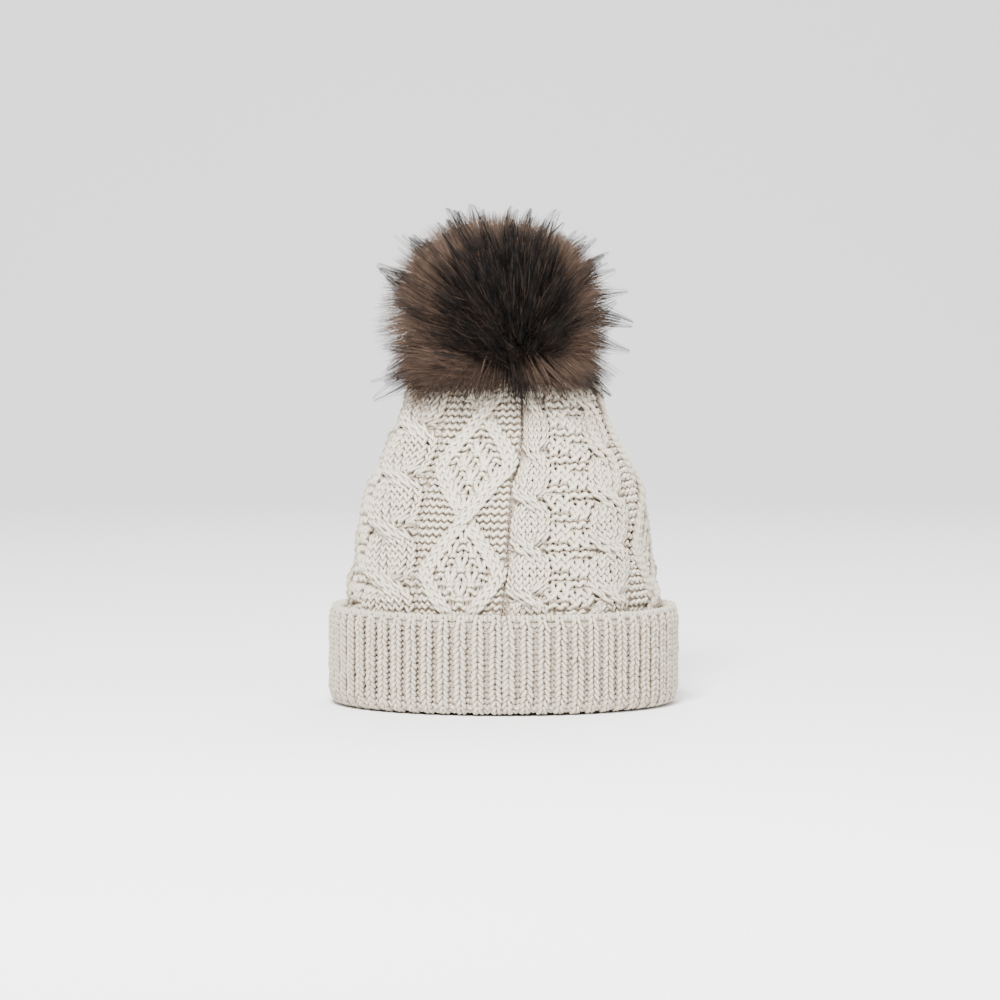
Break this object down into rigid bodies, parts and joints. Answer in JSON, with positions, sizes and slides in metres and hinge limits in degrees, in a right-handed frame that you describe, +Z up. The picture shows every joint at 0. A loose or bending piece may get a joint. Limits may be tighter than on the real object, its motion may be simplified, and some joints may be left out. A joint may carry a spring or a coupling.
{
  "type": "pom pom beanie",
  "caption": "Chunky cable-knit winter hat with a turned-up rib cuff and a large faux-fur pom that snaps onto the crown.",
  "frame": {"origin": "centre of the rim plane, on the bottom fold of the cuff", "axes": "+Z up through the crown and the pom, +X across the hat's width, -Y towards the side that carries the seam"},
  "size_m": [0.22, 0.1738, 0.305],
  "materials": {
    "cream_yarn": "soft matt plied yarn, slightly fuzzy",
    "seam_yarn": "same yarn, tighter and a little darker",
    "felt": "matt pressed felt",
    "snap_metal": "satin nickel plate",
    "spring_wire": "drawn wire",
    "sewing_thread": "spun polyester thread",
    "dark_thread": "spun polyester thread, dark brown",
    "pom_backing": "knitted fur backing, matt",
    "polyfill": "loose white polyester fibre",
    "faux_fur": "long silky pile, brown with near-black tips",
    "label_satin": "woven satin, slight sheen"
  },
  "bodies": {
    "hat": {"knit_body": "cream_yarn", "body_seam": "seam_yarn", "crown_gather_yarn": "seam_yarn", "crown_patch": "felt", "snap_stud": "snap_metal", "stud_thread": "sewing_thread", "label_thread": "sewing_thread"},
    "cuff": {"turn_up_cuff": "cream_yarn", "cuff_seam": "seam_yarn"},
    "spring": {"snap_spring": "spring_wire"},
    "socket": {"snap_socket": "snap_metal", "socket_thread": "dark_thread"},
    "pom": {"pom_base_disc": "pom_backing", "pom_drawstring": "dark_thread", "pom_fill": "polyfill", "pom_skin": "pom_backing", "pom_fur": "faux_fur"},
    "label": {"care_label": "label_satin"}
  },
  "joints": [
    {"name": "cuff_turn_down", "type": "slide", "parent": "hat", "child": "cuff", "axis": [0, 0, -1], "range_m": [0, 0.055]},
    {"name": "pom_pull_off", "type": "slide", "parent": "hat", "child": "spring", "axis": [0, 0, 1], "range_m": [0, 0.06]},
    {"name": "pom_swivel", "type": "hinge", "parent": "spring", "child": "socket", "pos_m": [0, 0, 0.2173], "axis": [0, 0, 1], "continuous": true},
    {"name": "pom_nod", "type": "hinge", "parent": "socket", "child": "pom", "pos_m": [0, 0, 0.2217], "axis": [1, 0, 0], "range_deg": [-12, 12], "stiffness_Nm_per_rad": 0.05},
    {"name": "care_label_flip", "type": "hinge", "parent": "hat", "child": "label", "pos_m": [0.024, -0.066, 0.065], "axis": [1, 0, 0], "range_deg": [0, 110]}
  ]
}
